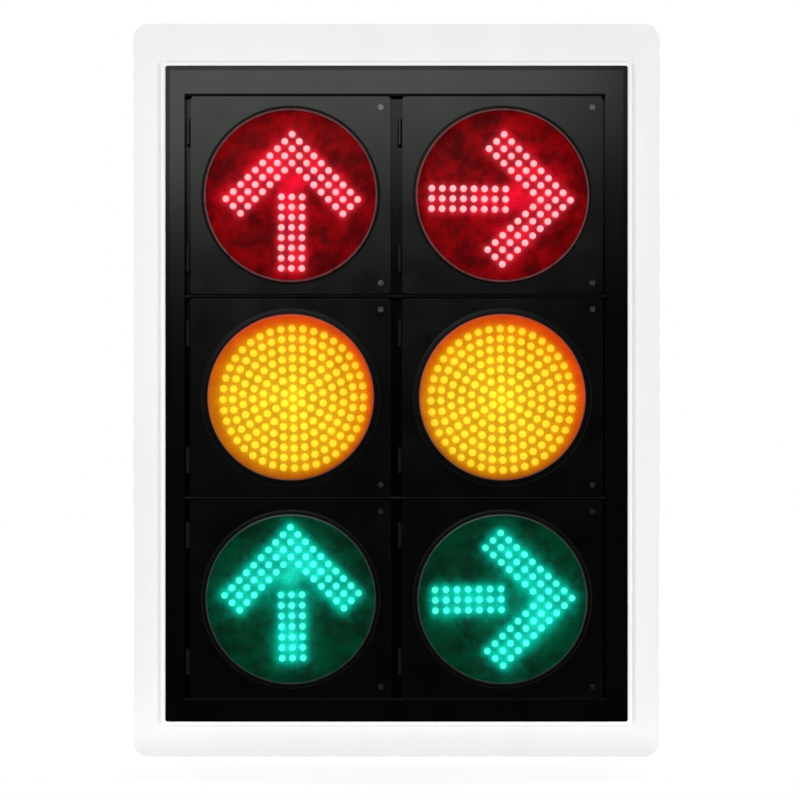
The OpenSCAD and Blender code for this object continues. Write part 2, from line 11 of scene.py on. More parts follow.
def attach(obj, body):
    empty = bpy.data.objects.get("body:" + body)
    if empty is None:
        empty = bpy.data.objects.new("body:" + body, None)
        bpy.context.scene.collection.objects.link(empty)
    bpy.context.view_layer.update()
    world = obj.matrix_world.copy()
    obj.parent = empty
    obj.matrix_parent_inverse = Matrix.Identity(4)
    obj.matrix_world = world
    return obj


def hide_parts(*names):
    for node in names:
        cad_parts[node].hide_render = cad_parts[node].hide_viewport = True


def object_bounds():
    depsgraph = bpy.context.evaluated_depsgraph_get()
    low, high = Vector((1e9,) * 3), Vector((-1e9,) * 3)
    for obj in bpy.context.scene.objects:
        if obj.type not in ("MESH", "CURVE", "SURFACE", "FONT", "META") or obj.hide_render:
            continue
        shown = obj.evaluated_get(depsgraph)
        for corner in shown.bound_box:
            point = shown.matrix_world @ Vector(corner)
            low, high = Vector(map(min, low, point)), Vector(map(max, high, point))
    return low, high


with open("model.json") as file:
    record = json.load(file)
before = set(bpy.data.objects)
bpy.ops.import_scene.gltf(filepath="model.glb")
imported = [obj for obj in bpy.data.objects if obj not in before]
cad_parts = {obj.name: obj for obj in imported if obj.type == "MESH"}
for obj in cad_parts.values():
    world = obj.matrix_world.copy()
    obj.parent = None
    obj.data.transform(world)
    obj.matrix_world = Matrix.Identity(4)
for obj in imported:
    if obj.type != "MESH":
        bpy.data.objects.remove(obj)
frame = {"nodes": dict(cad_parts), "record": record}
cadLow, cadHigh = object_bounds()  # the CAD box, before anything is dressed
nodes = frame["nodes"]
scene = bpy.context.scene
scene.view_settings.view_transform = "Standard"
print("frame loaded:", len(nodes), "CAD nodes")

layout = {  # where the lamps sit, in metres
    "frontPlane": -0.145,  # the cabinet's front strip
    "columnPitch": 0.367,
    "rowPitch": 0.350,
    "gridDrop": 0.006,
    "colours": ("red", "amber", "green"),
    "columns": ("left", "right"),
}
facing = Matrix.Rotation(math.pi / 2, 4, "X")  # stands a flat drawing up to face the viewer
mergeGap = 1e-6  # vertices this close together are one


# camera

photoView = {
    "distance": 3.0,  # from the front strip
    "aim": (0.006, -0.011),
    "pixel": 0.0017345,  # metres across one pixel at the front strip
    "pixels": 800,
    "sensor": 36.0,
    "farClip": 60,
}


def makeCamera():
    data = bpy.data.cameras.new("photoCamera")
    camera = bpy.data.objects.new("photoCamera", data)
    scene.collection.objects.link(camera)
    aimX, aimZ = photoView["aim"]
    camera.location = (aimX, layout["frontPlane"] - photoView["distance"], aimZ)
    camera.rotation_euler = (math.pi / 2, 0, 0)
    data.sensor_width = photoView["sensor"]
    data.lens = photoView["sensor"] * photoView["distance"] / (photoView["pixel"] * photoView["pixels"])
    data.clip_end = photoView["farClip"]
    scene.camera = camera


makeCamera()
print("camera made")


# nodes and links

noiseSpan = (0.3, 0.7)  # most values of a noise lie between these


def newMaterial(name):
    material = bpy.data.materials.new(name)
    material.use_nodes = True
    tree = material.node_tree
    tree.nodes.clear()
    output = tree.nodes.new("ShaderNodeOutputMaterial")
    shader = tree.nodes.new("ShaderNodeBsdfPrincipled")
    tree.links.new(shader.outputs["BSDF"], output.inputs["Surface"])
    return material, tree, shader


def objectPoint(tree, stretch=(1, 1, 1)):  # Object coordinates, stretched for streaks
    coordinates = tree.nodes.new("ShaderNodeTexCoord")
    mapping = tree.nodes.new("ShaderNodeMapping")
    mapping.inputs["Scale"].default_value = stretch
    tree.links.new(coordinates.outputs["Object"], mapping.inputs["Vector"])
    return mapping.outputs["Vector"]


def axesOf(tree, vector):
    node = tree.nodes.new("ShaderNodeSeparateXYZ")
    tree.links.new(vector, node.inputs["Vector"])
    return node.outputs


def noise(tree, point, scale, detail=4.0, rough=0.55):
    node = tree.nodes.new("ShaderNodeTexNoise")
    node.inputs["Scale"].default_value = scale
    node.inputs["Detail"].default_value = detail
    node.inputs["Roughness"].default_value = rough
    tree.links.new(point, node.inputs["Vector"])
    return node.outputs["Fac"]


def cellPattern(tree, point, scale, uneven=1.0):
    node = tree.nodes.new("ShaderNodeTexVoronoi")
    node.inputs["Scale"].default_value = scale
    node.inputs["Randomness"].default_value = uneven
    tree.links.new(point, node.inputs["Vector"])
    return node.outputs


def ramp(tree, value, stops):
    node = tree.nodes.new("ShaderNodeValToRGB")
    elements = node.color_ramp.elements
    while len(elements) < len(stops):
        elements.new(0.5)
    for element, (place, colour) in zip(elements, stops):
        element.position = place
        element.color = (*colour, 1)
    tree.links.new(value, node.inputs["Fac"])
    return node.outputs["Color"]


def toned(tree, value, dark, light, span=noiseSpan):  # from dark to light over a span of values
    return ramp(tree, value, [(span[0], dark), (span[1], light)])


def overlaid(tree, share, colour, other):  # a share of another colour over a colour
    node = tree.nodes.new("ShaderNodeMix")
    node.data_type = "RGBA"  # its share is input 0, its colours are inputs 6 and 7 and output 2
    tree.links.new(share, node.inputs[0])
    tree.links.new(colour, node.inputs[6])
    node.inputs[7].default_value = (*other, 1)
    return node.outputs[2]


def spread(tree, value, to, span=noiseSpan):  # from one span of values to another
    node = tree.nodes.new("ShaderNodeMapRange")
    for socket, level in zip(("From Min", "From Max", "To Min", "To Max"), (*span, *to)):
        node.inputs[socket].default_value = level
    tree.links.new(value, node.inputs["Value"])
    return node.outputs["Result"]


def math2(tree, kind, a, b):
    node = tree.nodes.new("ShaderNodeMath")
    node.operation = kind
    for socket, value in zip(node.inputs, (a, b)):
        if isinstance(value, (int, float)):
            socket.default_value = value
        else:
            tree.links.new(value, socket)
    return node.outputs["Value"]


def bump(tree, height, distance, strength=1.0):
    node = tree.nodes.new("ShaderNodeBump")
    node.inputs["Strength"].default_value = strength
    node.inputs["Distance"].default_value = distance
    tree.links.new(height, node.inputs["Height"])
    return node.outputs["Normal"]


def attribute(tree, name):
    node = tree.nodes.new("ShaderNodeAttribute")
    node.attribute_name = name
    return node.outputs["Fac"]


# plain finishes: paint, plastic, rubber and metal

plainLook = {  # what the finishes share
    "stretch": (1, 1, 1), "tint": (1, 1, 1), "metal": 0.0,
    "patchDetail": 5.0, "patchRough": 0.6, "patchShare": 0.7, "grainDetail": 2.0,
}
finishes = {  # patches of colour and gloss, with a fine grain over them
    "white_paint": {
        "dark": (0.785, 0.785, 0.78), "light": (0.825, 0.825, 0.82), "patch": 9, "stretch": (1, 1, 0.25),
        "rough": (0.34, 0.46), "grain": 420, "grainDepth": 0.00008, "shine": 0.4,
    },
    "white_trim": {
        "dark": (0.95, 0.95, 0.95), "light": (0.98, 0.98, 0.98), "patch": 14,
        "rough": (0.26, 0.36), "grain": 700, "grainDepth": 0.00003, "shine": 0.5,
    },
    "black_paint": {
        "dark": (0.0005, 0.0005, 0.0005), "light": (0.0013, 0.0013, 0.0012), "patch": 12,
        "stretch": (1, 1, 0.3), "rough": (0.15, 0.22), "grain": 380, "grainDepth": 0.00006,
        "shine": 0.5, "tint": (1, 1, 0.95),
    },
    "door_plastic": {
        "dark": (0.0005, 0.0006, 0.0005), "light": (0.0013, 0.0015, 0.0013), "patch": 16,
        "rough": (0.17, 0.26), "grain": 900, "grainDepth": 0.00004, "shine": 0.46, "tint": (0.95, 1, 0.93),
    },
    "black_plastic": {
        "dark": (0.006, 0.006, 0.006), "light": (0.012, 0.012, 0.012), "patch": 20,
        "rough": (0.42, 0.56), "grain": 1100, "grainDepth": 0.00006, "shine": 0.4,
    },
    "grey_plastic": {
        "dark": (0.40, 0.40, 0.37), "light": (0.48, 0.48, 0.45), "patch": 40,
        "rough": (0.40, 0.52), "grain": 1200, "grainDepth": 0.00004, "shine": 0.4,
    },
    "seal_rubber": {
        "dark": (0.0005, 0.0005, 0.0005), "light": (0.0015, 0.0015, 0.0015), "patch": 60,
        "rough": (0.28, 0.40), "grain": 1500, "grainDepth": 0.00008, "shine": 0.2,
    },
    "bright_steel": {
        "dark": (0.12, 0.12, 0.12), "light": (0.20, 0.20, 0.20), "patch": 260,
        "rough": (0.22, 0.38), "grain": 2400, "grainDepth": 0.00002, "shine": 0.5, "metal": 1.0,
    },
}
finishes["strip_paint"] = {  # the black paint under a clear lacquer, which fades out between these limits; without it the recess reflects less, as painted shade
    **finishes["black_paint"], "shine": 0.26, "lacquer": 0.48, "lacquerRough": 0.18,
    # the first limits mark the recess, where the missing lacquer is painted shade
    "recessShadeDepth": (-0.1447, -0.1437), "dullSide": (0.3920, 0.3945), "dullEnd": (0.5600, 0.5625),
}


def plainFinish(name, own):
    look = {**plainLook, **own}
    material, tree, shader = newMaterial(name)
    point = objectPoint(tree, look["stretch"])
    patches = noise(tree, point, look["patch"], look["patchDetail"], look["patchRough"])
    fine = noise(tree, objectPoint(tree), look["grain"], look["grainDetail"])
    tree.links.new(toned(tree, patches, look["dark"], look["light"]), shader.inputs["Base Color"])
    mixed = math2(tree, "ADD", math2(tree, "MULTIPLY", patches, look["patchShare"]),
                  math2(tree, "MULTIPLY", fine, 1 - look["patchShare"]))
    tree.links.new(spread(tree, mixed, look["rough"]), shader.inputs["Roughness"])
    tree.links.new(bump(tree, fine, look["grainDepth"]), shader.inputs["Normal"])
    shader.inputs["Metallic"].default_value = look["metal"]
    shader.inputs["Specular IOR Level"].default_value = look["shine"]
    shader.inputs["Specular Tint"].default_value = (*look["tint"], 1)
    if "lacquer" in look:
        lacquer(tree, shader, look)
    return material


def lacquer(tree, shader, look):  # clear lacquer on the front; none in the recess, which paints shade there, and none along the outer edge
    place = axesOf(tree, objectPoint(tree))
    # painted shade: the recess behind the front strip loses its lacquer and reads darker; the outer edge only
    # loses gloss
    shadeAndDullEdge = spread(tree, place["Y"], (0, 1), look["recessShadeDepth"])
    for axis, limits in (("X", look["dullSide"]), ("Z", look["dullEnd"])):
        out = math2(tree, "ABSOLUTE", place[axis], 0.0)
        shadeAndDullEdge = math2(tree, "MAXIMUM", shadeAndDullEdge, spread(tree, out, (0, 1), limits))
    left = math2(tree, "SUBTRACT", 1.0, shadeAndDullEdge)
    tree.links.new(math2(tree, "MULTIPLY", left, look["lacquer"]), shader.inputs["Coat Weight"])
    shader.inputs["Coat Roughness"].default_value = look["lacquerRough"]


zincLook = {
    "stops": [(0.0, (0.40, 0.41, 0.42)), (0.5, (0.52, 0.53, 0.54)), (1.0, (0.64, 0.65, 0.66))],
    "spangle": 95, "cloud": 18, "rough": (0.30, 0.52), "scratch": (30, 30, 900), "scratchDepth": 0.00002,
}


def zincFinish():
    material, tree, shader = newMaterial("zinc_steel")
    spangle = cellPattern(tree, objectPoint(tree), zincLook["spangle"])
    tone = tree.nodes.new("ShaderNodeSeparateColor")
    tree.links.new(spangle["Color"], tone.inputs["Color"])
    cloud = noise(tree, objectPoint(tree), zincLook["cloud"])
    mixed = math2(tree, "MULTIPLY", math2(tree, "ADD", tone.outputs["Red"], cloud), 0.5)
    tree.links.new(ramp(tree, mixed, zincLook["stops"]), shader.inputs["Base Color"])
    tree.links.new(spread(tree, mixed, zincLook["rough"]), shader.inputs["Roughness"])
    lines = noise(tree, objectPoint(tree, zincLook["scratch"]), 1.0)
    tree.links.new(bump(tree, lines, zincLook["scratchDepth"]), shader.inputs["Normal"])
    shader.inputs["Metallic"].default_value = 1.0
    return material


materials = {name: plainFinish(name, look) for name, look in finishes.items()}
materials["zinc_steel"] = zincFinish()
print("plain finishes made:", len(materials))


# lamps: LEDs on a board behind a tinted lens

lampColours = {  # glow and led are ramps from dim to bright
    "red": {
        "tint": (0.22, 0.0, 0.002), "tintDark": (0.06, 0.0, 0.001), "mottle": (0.45, 1.45),
        "lensGlow": [(0.0, (0.17, 0.0, 0.001)), (0.2, (0.34, 0.0, 0.003)), (0.6, (0.72, 0.0, 0.012)),
                     (1.0, (1.0, 0.005, 0.03))],
        "boardGlow": [(0.0, (0.02, 0.0, 0.0)), (0.5, (0.42, 0.03, 0.045)), (1.0, (1.0, 0.20, 0.24))],
        "corner": (1.0, 0.004, 0.03),
        "led": [(0.0, (0.85, 0.02, 0.06)), (0.3, (1.0, 0.28, 0.32)), (0.7, (1.0, 0.46, 0.49))],
        "ledPower": 1.8, "boardPower": 1.0,
        "rim": ((0.05, 0.016, 0.019), (0.12, 0.038, 0.044)), "rimPower": 0.13,
    },
    "amber": {
        "tint": (0.26, 0.09, 0.0), "tintDark": (0.18, 0.055, 0.0), "mottle": (0.88, 1.10),
        "lensGlow": [(0.0, (1.0, 0.005, 0.006)), (0.14, (0.93, 0.055, 0.004)), (0.32, (0.80, 0.20, 0.004)),
                     (0.70, (0.80, 0.50, 0.02)), (0.96, (0.95, 0.76, 0.03))],
        "boardGlow": [(0.0, (0.42, 0.06, 0.0)), (0.5, (0.75, 0.37, 0.0)), (1.0, (0.92, 0.55, 0.01))],
        "led": [(0.0, (0.90, 0.44, 0.0)), (0.3, (1.0, 0.56, 0.015)), (0.7, (1.0, 0.66, 0.05))],
        "ledPower": 1.12, "boardPower": 0.85,
        "rim": ((0.13, 0.036, 0.010), (0.18, 0.060, 0.018)), "rimPower": 0.20,
    },
    "green": {
        "tint": (0.0, 0.042, 0.016), "tintDark": (0.002, 0.012, 0.005), "mottle": (0.50, 1.40),
        "lensGlow": [(0.0, (0.0, 0.030, 0.012)), (0.2, (0.0, 0.12, 0.06)), (0.6, (0.0, 0.48, 0.31)),
                     (1.0, (0.02, 0.92, 0.70))],
        "boardGlow": [(0.0, (0.0, 0.010, 0.005)), (0.5, (0.0, 0.40, 0.28)), (1.0, (0.02, 0.90, 0.72))],
        "corner": (0.005, 0.80, 0.52),
        "led": [(0.0, (0.005, 0.62, 0.44)), (0.3, (0.05, 0.98, 0.72)), (0.7, (0.12, 1.0, 0.78))],
        "ledPower": 1.28, "boardPower": 1.0,
        "rim": ((0.004, 0.014, 0.009), (0.012, 0.030, 0.020)), "rimPower": 0.12,
    },
}


def lampPlace(column, row):  # lamp coordinates: x right, y up, z towards the viewer
    x = (column - 0.5) * layout["columnPitch"]
    z = (1 - row) * layout["rowPitch"] - layout["gridDrop"]
    return Matrix.Translation((x, layout["frontPlane"], z)) @ facing


def turned(bm, profile, sides):  # a full turn of a profile about the lamp axis
    line = [bm.verts.new((radius, 0, height)) for radius, height in profile]
    edges = [bm.edges.new(pair) for pair in zip(line, line[1:])]
    bmesh.ops.spin(bm, geom=line + edges, cent=(0, 0, 0), axis=(0, 0, 1), dvec=(0, 0, 0),
                   angle=2 * math.pi, steps=sides, use_merge=True, use_normal_flip=False, use_duplicate=False)
    bmesh.ops.remove_doubles(bm, verts=bm.verts, dist=mergeGap)
    bmesh.ops.recalc_face_normals(bm, faces=bm.faces)


def meshOf(name, bm):
    mesh = bpy.data.meshes.new(name)
    bm.to_mesh(mesh)
    bm.free()
    return mesh


def meshPiece(name, bm, place, slots):  # the piece in its place, and its points before that
    mesh = meshOf(name, bm)
    local = np.zeros(len(mesh.vertices) * 3, np.float32)
    mesh.vertices.foreach_get("co", local)
    mesh.transform(place)
    piece = bpy.data.objects.new(name, mesh)
    scene.collection.objects.link(piece)
    for slot in slots:
        mesh.materials.append(slot)
    return piece, local.reshape(-1, 3)


def smooth(piece, crisp=35):  # round faces shade round, edges over this angle stay crisp
    mesh = piece.data
    mesh.shade_smooth()
    mesh.set_sharp_from_angle(angle=math.radians(crisp))


def keepAttribute(mesh, name, values):
    made = mesh.attributes.new(name, "FLOAT", "POINT")
    made.data.foreach_set("value", np.asarray(values, np.float32))


# where the LEDs sit

ledLook = {
    "pitch": {"red": 0.0179, "green": 0.0187}, "arm": 10, "rows": 3,
    "ringPitch": 0.0177, "rings": (6, 12, 18, 24, 30, 36, 40),  # LEDs on each ring
    "stem": {"red": (8, 0.110), "green": (7, 0.120)},  # LEDs along a stem, and tip to stem
    "shift": {"red": ((0.0005, -0.0080), (-0.0010, -0.0045)), "amber": ((0.0030, -0.0020), (0, -0.0040)),
              "green": ((0, 0.0085), (0.0035, -0.0030))},  # from the lens centre, per column
    "turn": {"red": (-0.3, -0.8), "amber": (1.1, 1.2), "green": (1.0, 1.0)},  # boards sit slightly turned
    "stretch": {"red": ((1.01, 0.995), (1.03, 0.995)), "amber": ((0.995, 0.985), (1.0, 1.0)),
                "green": ((0.985, 0.985), (1.03, 0.975))},  # across and up
    "corner": 0.086, "cornerWidth": 0.015,  # tip to the bright corner between the arms
    "boardCorner": {"red": (1.30, 1.15), "green": (0.85, 0.12)},
    "lensCorner": {"red": (1.00, 0.85), "green": (0.50, 0.08)},
    "profile": [(0, -0.0003), (0.0056, -0.0003), (0.0056, 0.0040), (0.0048, 0.0063), (0.0030, 0.0079),
                (0, 0.0085)],
    "scale": {"red": 1.10, "amber": 1.18, "green": 1.08}, "sides": 10,
    "uneven": 0.35, "seed": 7,  # some shine less
    "brightTip": 0.0050, "rough": 0.15,
}


def arrowTop(colour):
    stemCount, neck = ledLook["stem"][colour]
    return (neck + (stemCount - 1) * ledLook["pitch"][colour]) / 2


def arrowSpots(colour):  # two arms that meet in the tip, and the stem
    pitch, rows = ledLook["pitch"][colour], ledLook["rows"]
    stemCount, neck = ledLook["stem"][colour]
    top = arrowTop(colour)
    half = pitch * math.sqrt(0.5)
    arms = [Vector(((j - i) * half, top - (i + j) * half, 0))
            for i in range(ledLook["arm"]) for j in range(ledLook["arm"]) if min(i, j) < rows]
    stem = [Vector(((i - (rows - 1) / 2) * pitch, top - neck - j * pitch, 0))
            for i in range(rows) for j in range(stemCount)]
    return arms + stem


def ballSpots():  # one LED in the middle and rings around it
    spots = [Vector((0, 0, 0))]
    for ring, count in enumerate(ledLook["rings"], 1):
        for i in range(count):
            turn = Matrix.Rotation(2 * math.pi * i / count, 3, "Z")
            spots.append(turn @ Vector((0, ring * ledLook["ringPitch"], 0)))
    return spots


def patternPlace(colour, column):  # the right column's arrows point right
    quarter = -90 * column if colour != "amber" else 0
    shift = Matrix.Translation((*ledLook["shift"][colour][column], 0))
    stretch = Matrix.Diagonal((*ledLook["stretch"][colour][column], 1, 1))
    return shift @ stretch @ Matrix.Rotation(math.radians(ledLook["turn"][colour][column] + quarter), 4, "Z")


def ledPlaces(colour, column):
    spots = ballSpots() if colour == "amber" else arrowSpots(colour)
    return [patternPlace(colour, column) @ spot for spot in spots]


def glowAt(points, spots, width):  # how much LED light reaches each point
    spots = np.array([spot[:2] for spot in spots])
    gap = ((points[:, None, :2] - spots[None]) ** 2).sum(2)
    return np.exp(-gap / (2 * width * width)).sum(1)


def cornerGlow(points, colour, column, where):  # the arms light the corner between them
    spot = patternPlace(colour, column) @ Vector((0, arrowTop(colour) - ledLook["corner"], 0))
    return ledLook[where][colour][column] * glowAt(points, [spot], ledLook["cornerWidth"])


# LED boards, with driver parts and capacitors behind

boardLook = {
    "face": -0.024, "thick": 0.0016, "radius": 0.148, "rings": 40, "sides": 128, "crisp": 50,
    "parts": [((-0.062, -0.020), (0.048, 0.040), 0.020), ((0.002, -0.034), (0.060, 0.028), 0.012),
              ((-0.040, 0.042), (0.070, 0.012), 0.010)],  # corner, size and depth
    "partEdge": 0.0012, "partEdgeSteps": 2,
    "cans": [(0.008, 0.018), (0.032, 0.018)], "canRadius": 0.009, "canHeight": 0.018, "canSides": 24,
    "glowWidth": {"red": 0.0054, "amber": 0.0054, "green": 0.0062},
    "dark": (0.002, 0.002, 0.002), "light": (0.005, 0.005, 0.005), "cloud": 60, "mottle": (0.8, 1.15),
    "rough": (0.4, 0.55), "grain": 500, "grainDetail": 2.0, "grainDepth": 0.00005, "shine": 0.1,
}


def boardMaterial(colour):
    look = lampColours[colour]
    material, tree, shader = newMaterial("board_" + colour)
    point = objectPoint(tree)
    cloud = noise(tree, point, boardLook["cloud"])
    tree.links.new(toned(tree, cloud, boardLook["dark"], boardLook["light"]), shader.inputs["Base Color"])
    glow = math2(tree, "MULTIPLY", attribute(tree, "glow"), spread(tree, cloud, boardLook["mottle"]))
    lit = ramp(tree, glow, look["boardGlow"])
    if "corner" in look:
        lit = overlaid(tree, attribute(tree, "corner"), lit, look["corner"])
    tree.links.new(lit, shader.inputs["Emission Color"])
    shader.inputs["Emission Strength"].default_value = look["boardPower"]
    tree.links.new(spread(tree, cloud, boardLook["rough"]), shader.inputs["Roughness"])
    grain = noise(tree, point, boardLook["grain"], boardLook["grainDetail"])
    tree.links.new(bump(tree, grain, boardLook["grainDepth"]), shader.inputs["Normal"])
    shader.inputs["Specular IOR Level"].default_value = boardLook["shine"]
    return material


def ledMaterial(colour):
    look = lampColours[colour]
    material, tree, shader = newMaterial("led_" + colour)
    depth = axesOf(tree, objectPoint(tree))["Y"]
    tip = layout["frontPlane"] - boardLook["face"] - ledLook["profile"][-1][1]
    height = spread(tree, depth, (0, 1), (tip + ledLook["brightTip"], tip))
    bright = math2(tree, "MULTIPLY", height, attribute(tree, "glow"))
    tree.links.new(ramp(tree, bright, look["led"]), shader.inputs["Emission Color"])
    shader.inputs["Emission Strength"].default_value = look["ledPower"]
    middleColour = look["led"][1][1]
    shader.inputs["Base Color"].default_value = (*middleColour, 1)
    shader.inputs["Roughness"].default_value = ledLook["rough"]
    return material


def ledMesh():
    bm = bmesh.new()
    turned(bm, ledLook["profile"], ledLook["sides"])
    for f in bm.faces:
        f.material_index = 1
    return meshOf("oneLed", bm)


def boardMesh():
    radius, rings, face = boardLook["radius"], boardLook["rings"], boardLook["face"]
    back = face - boardLook["thick"]
    bm = bmesh.new()
    profile = [(radius * i / rings, face) for i in range(rings + 1)]
    turned(bm, profile + [(radius, back), (0, back)], boardLook["sides"])
    for (x, y), (wide, high), deep in boardLook["parts"]:
        box = bmesh.ops.create_cube(bm, size=1)["verts"]
        bmesh.ops.scale(bm, vec=(wide, high, deep), verts=box)
        bmesh.ops.translate(bm, vec=(x + wide / 2, y + high / 2, back - deep / 2), verts=box)
        edges = list(dict.fromkeys(e for v in box for e in v.link_edges))
        bmesh.ops.bevel(bm, geom=edges, offset=boardLook["partEdge"], segments=boardLook["partEdgeSteps"],
                        profile=0.5, affect="EDGES", material=-1, clamp_overlap=True)
    for x, y in boardLook["cans"]:
        deep = boardLook["canHeight"]
        bmesh.ops.create_cone(bm, cap_ends=True, segments=boardLook["canSides"],
                              radius1=boardLook["canRadius"], radius2=boardLook["canRadius"], depth=deep,
                              matrix=Matrix.Translation((x, y, back - deep / 2)))
    return meshOf("oneBoard", bm)


def ledBoard(key, colour, column, place):
    spots = ledPlaces(colour, column)
    bm = bmesh.new()
    bm.from_mesh(oneBoard)
    points = np.array([v.co for v in oneBoard.vertices])
    glow = list(glowAt(points, spots, boardLook["glowWidth"][colour]))
    wide = ledLook["scale"][colour]
    for spot in spots:
        led = oneLed.copy()
        seat = Matrix.Translation(spot + Vector((0, 0, boardLook["face"])))
        led.transform(seat @ Matrix.Diagonal((wide, wide, 1, 1)))
        bm.from_mesh(led)
        bpy.data.meshes.remove(led)
        glow += [1 - ledLook["uneven"] * draw.random()] * len(oneLed.vertices)
    piece, _ = meshPiece("led_array_" + key, bm, place,
                         [materials["board_" + colour], materials["led_" + colour]])
    keepAttribute(piece.data, "glow", glow)
    if colour != "amber":
        corner = np.zeros(len(glow))
        corner[:len(points)] = np.minimum(cornerGlow(points, colour, column, "boardCorner"), 1)
        keepAttribute(piece.data, "corner", corner)
    smooth(piece, boardLook["crisp"])
    return piece


# lenses: thin tinted shells with a smooth bead round the rim

lensLook = {
    "radius": {"red": 0.1508, "amber": 0.1446, "green": 0.1482},
    "neck": 0.1482, "brim": 0.0024,  # radius inside the door, and height of a wider lens's brim
    "wall": 0.003, "apex": 0.014, "edge": 0.004, "rings": 40, "sides": 144, "crisp": 40,
    "rim": 0.0036, "rimTurns": (0.4, 0.8, 1.2, math.pi / 2),
    "flangeRadius": 0.1575, "flangeTop": -0.004, "flangeBack": -0.008, "backFacing": -0.5, "slack": 1e-4,
    "glowWidth": 0.016, "fullGlow": 5,  # so much LED light counts as 1
    "optics": 150, "opticsUneven": 0.25, "opticsLight": (1.12, 0.82), "opticsSpan": (0.1, 0.6),
    "opticsDepth": 0.0002, "opticsBump": 0.35,
    "cloud": 30, "cloudDetail": 5.0, "cloudRough": 0.65, "cloudSpan": (0.40, 0.60),
    "alpha": 0.26, "rough": (0.10, 0.18), "shine": 0.02,
    "rimCloud": 60, "rimRough": (0.25, 0.40), "rimShine": 0.7,
}
ballLook = {  # how the light of a full ball varies across its lens
    "leds": 0.62, "middle": 0.28, "middleWidth": 0.42,
    "slant": 0.25,  # golden at the lower left, redder at the upper right
    "dimBelow": 0.72, "dimEdge": 6,  # darker along the lower edge, and how sharply
}


def lensMaterial(colour):
    look = lampColours[colour]
    material, tree, shader = newMaterial("lens_" + colour)
    point = objectPoint(tree)
    cells = cellPattern(tree, point, lensLook["optics"], lensLook["opticsUneven"])["Distance"]
    cloud = noise(tree, point, lensLook["cloud"], lensLook["cloudDetail"], lensLook["cloudRough"])
    base = toned(tree, cloud, look["tintDark"], look["tint"], lensLook["cloudSpan"])
    tree.links.new(base, shader.inputs["Base Color"])
    pillow = math2(tree, "MULTIPLY", spread(tree, cloud, look["mottle"], lensLook["cloudSpan"]),
                   spread(tree, cells, lensLook["opticsLight"], lensLook["opticsSpan"]))
    power = math2(tree, "MULTIPLY", pillow, attribute(tree, "power"))
    tree.links.new(ramp(tree, attribute(tree, "glow"), look["lensGlow"]), shader.inputs["Emission Color"])
    tree.links.new(power, shader.inputs["Emission Strength"])
    tree.links.new(spread(tree, cloud, lensLook["rough"]), shader.inputs["Roughness"])
    relief = bump(tree, cells, lensLook["opticsDepth"], lensLook["opticsBump"])  # pillow optics inside
    tree.links.new(relief, shader.inputs["Normal"])
    shader.inputs["Alpha"].default_value = lensLook["alpha"]
    shader.inputs["Specular IOR Level"].default_value = lensLook["shine"]
    return material


def rimMaterial(colour):
    look = lampColours[colour]
    material, tree, shader = newMaterial("lens_rim_" + colour)
    cloud = noise(tree, objectPoint(tree), lensLook["rimCloud"])
    power = math2(tree, "MULTIPLY", attribute(tree, "power"), look["rimPower"])
    tree.links.new(toned(tree, cloud, *look["rim"]), shader.inputs["Base Color"])
    tree.links.new(ramp(tree, attribute(tree, "glow"), look["lensGlow"]), shader.inputs["Emission Color"])
    tree.links.new(power, shader.inputs["Emission Strength"])
    tree.links.new(spread(tree, cloud, lensLook["rimRough"]), shader.inputs["Roughness"])
    shader.inputs["Specular IOR Level"].default_value = lensLook["rimShine"]
    return material


def domeLine(reach, radius, centre):  # from the lamp axis out to reach
    steps = [reach * i / lensLook["rings"] for i in range(lensLook["rings"] + 1)]
    return [(out, centre + math.sqrt(radius ** 2 - out ** 2)) for out in steps]


def lensProfile(colour):
    r, neck, wall, rim = lensLook["radius"][colour], lensLook["neck"], lensLook["wall"], lensLook["rim"]
    rise = lensLook["apex"] - lensLook["edge"]
    dome = (r * r + rise * rise) / (2 * rise)
    centre = lensLook["apex"] - dome
    edge = r - rim
    outer = domeLine(edge, dome, centre)
    top = outer[-1][1]
    corner = [(edge + rim * math.sin(a), top - rim + rim * math.cos(a)) for a in lensLook["rimTurns"]]
    if r > neck:  # a brim over the door's edge
        corner += [(r, lensLook["brim"]), (neck, lensLook["brim"])]
    foot = min(r, neck)
    flange = [(foot, lensLook["flangeTop"]), (lensLook["flangeRadius"], lensLook["flangeTop"]),
              (lensLook["flangeRadius"], lensLook["flangeBack"]), (foot - wall, lensLook["flangeBack"])]
    inner = domeLine(foot - wall, dome - wall, centre)[::-1]
    return outer + corner + flange + inner


def ballLight(local, glow, radius):
    x, y = local[:, 0] / radius, local[:, 1] / radius
    out = np.hypot(x, y)
    glow = ballLook["leds"] * glow + ballLook["middle"] * np.exp(-(out / ballLook["middleWidth"]) ** 2)
    glow = glow - ballLook["slant"] * out * (x + y) / math.sqrt(2)
    power = 1 - ballLook["dimBelow"] * np.clip(-y, 0, 1) * np.minimum(out, 1) ** ballLook["dimEdge"]
    return glow, power


def lampLens(key, colour, column, place):
    bm = bmesh.new()
    turned(bm, lensProfile(colour), lensLook["sides"])
    radius = lensLook["radius"][colour]
    edge = radius - lensLook["rim"]
    for f in bm.faces:  # the bead and the flange behind it
        middle = f.calc_center_median()
        f.material_index = int(middle.xy.length > edge and f.normal.z > lensLook["backFacing"])
    piece, local = meshPiece("clear_lens_" + key, bm, place,
                             [materials["lens_" + colour], materials["lens_rim_" + colour]])
    glow = glowAt(local, ledPlaces(colour, column), lensLook["glowWidth"]) / lensLook["fullGlow"]
    power = np.ones(len(local))
    if colour == "amber":
        glow, power = ballLight(local, glow, radius)
    else:
        glow = glow + cornerGlow(local, colour, column, "lensCorner")
    behind = local[:, 2] < lensLook["flangeTop"] + lensLook["slack"]
    power[behind] = 0  # the flange behind the door stays dark
    keepAttribute(piece.data, "glow", glow)
    keepAttribute(piece.data, "power", power)
    smooth(piece, lensLook["crisp"])
    return piece


